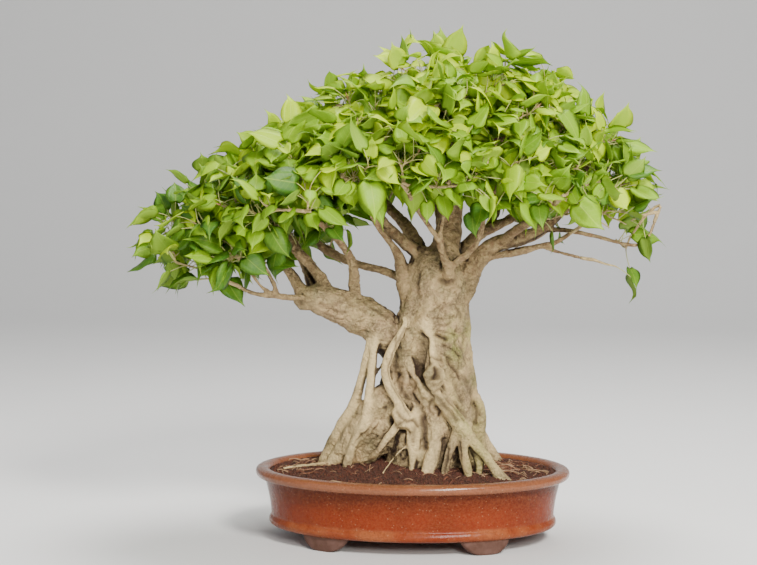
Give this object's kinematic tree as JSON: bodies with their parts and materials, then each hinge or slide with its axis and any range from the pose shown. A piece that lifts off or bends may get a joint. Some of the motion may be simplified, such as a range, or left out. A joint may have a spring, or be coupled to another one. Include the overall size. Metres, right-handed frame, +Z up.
{
  "type": "bonsai tree in a pot",
  "caption": "Fig tree grown as a bonsai, with a thick rooted trunk and a broad leafy crown, in an oval glazed pot on bracket feet.",
  "frame": {"origin": "on the plane that the pot's feet stand on, below the middle of the whole plant", "axes": "+Z up, X along the pot's length with the crown's taller side towards +X, the front of the pot towards -Y"},
  "size_m": [0.7686, 0.51, 0.7265],
  "materials": {
    "glaze": "gloss",
    "bark": "matte",
    "soil": "matte",
    "leaf": "satin",
    "screen": "matte"
  },
  "bodies": {
    "root": {"pot": "glaze", "soil": "soil", "drain_screen_left": "screen", "drain_screen_right": "screen", "tree_wood": "bark", "leafy_shoot_01": "leaf", "leafy_shoot_02": "leaf", "leafy_shoot_03": "leaf", "leafy_shoot_04": "leaf", "leafy_shoot_05": "leaf", "leafy_shoot_06": "leaf", "leafy_shoot_07": "leaf", "leafy_shoot_08": "leaf", "leafy_shoot_09": "leaf", "leafy_shoot_10": "leaf", "leafy_shoot_11": "leaf", "leafy_shoot_12": "leaf", "leafy_shoot_13": "leaf", "leafy_shoot_14": "leaf", "leafy_shoot_15": "leaf", "leafy_shoot_16": "leaf", "leafy_shoot_17": "leaf", "leafy_shoot_18": "leaf", "leafy_shoot_19": "leaf", "leafy_shoot_20": "leaf", "leafy_shoot_21": "leaf", "leafy_shoot_22": "leaf", "leafy_shoot_23": "leaf", "leafy_shoot_24": "leaf", "leafy_shoot_25": "leaf", "leafy_shoot_26": "leaf", "leafy_shoot_27": "leaf", "leafy_shoot_28": "leaf", "leafy_shoot_29": "leaf", "leafy_shoot_30": "leaf"}
  },
  "joints": []
}
